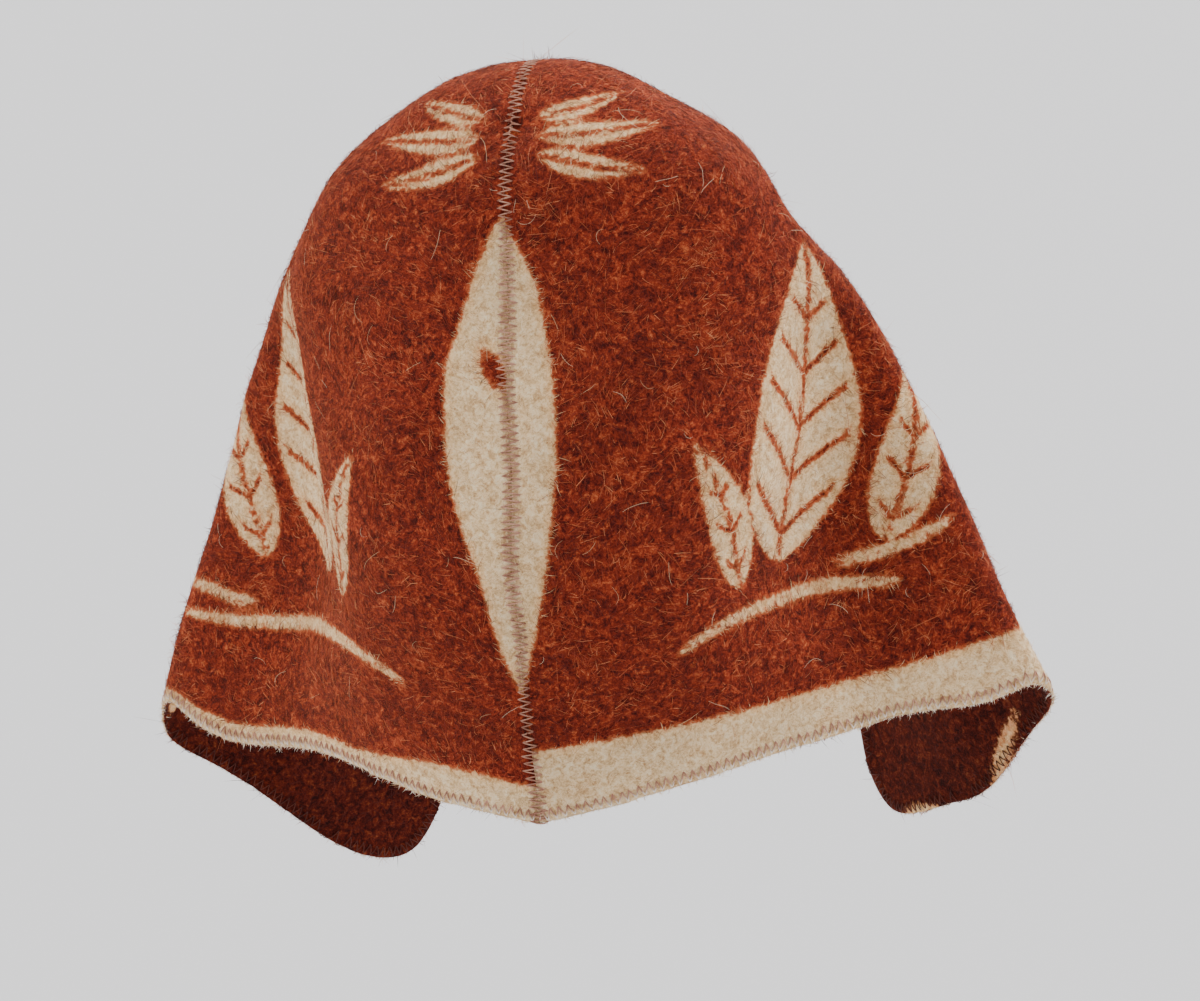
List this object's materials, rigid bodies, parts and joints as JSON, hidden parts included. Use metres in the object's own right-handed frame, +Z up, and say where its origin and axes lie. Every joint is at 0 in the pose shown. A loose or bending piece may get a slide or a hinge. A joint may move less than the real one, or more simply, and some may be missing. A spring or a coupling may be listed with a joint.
{
  "type": "sauna hat",
  "caption": "Hood-shaped sauna hat of thick napped blanket cloth, two mirror halves joined by one seam over the crown, flaring to folded wings and hanging cheek flaps.",
  "frame": {"origin": "the point inside the top of the crown that rests on a wearer's head", "axes": "+Z up, the hat faces -Y, +X towards the wearer's left"},
  "size_m": [0.3572, 0.2102, 0.3299],
  "materials": {
    "left_cloth": "napped woollen blanket cloth, rust red and cream",
    "right_cloth": "napped woollen blanket cloth, rust red and cream"
  },
  "bodies": {
    "root": {"left_panel": "left_cloth", "right_panel": "right_cloth"}
  },
  "joints": []
}
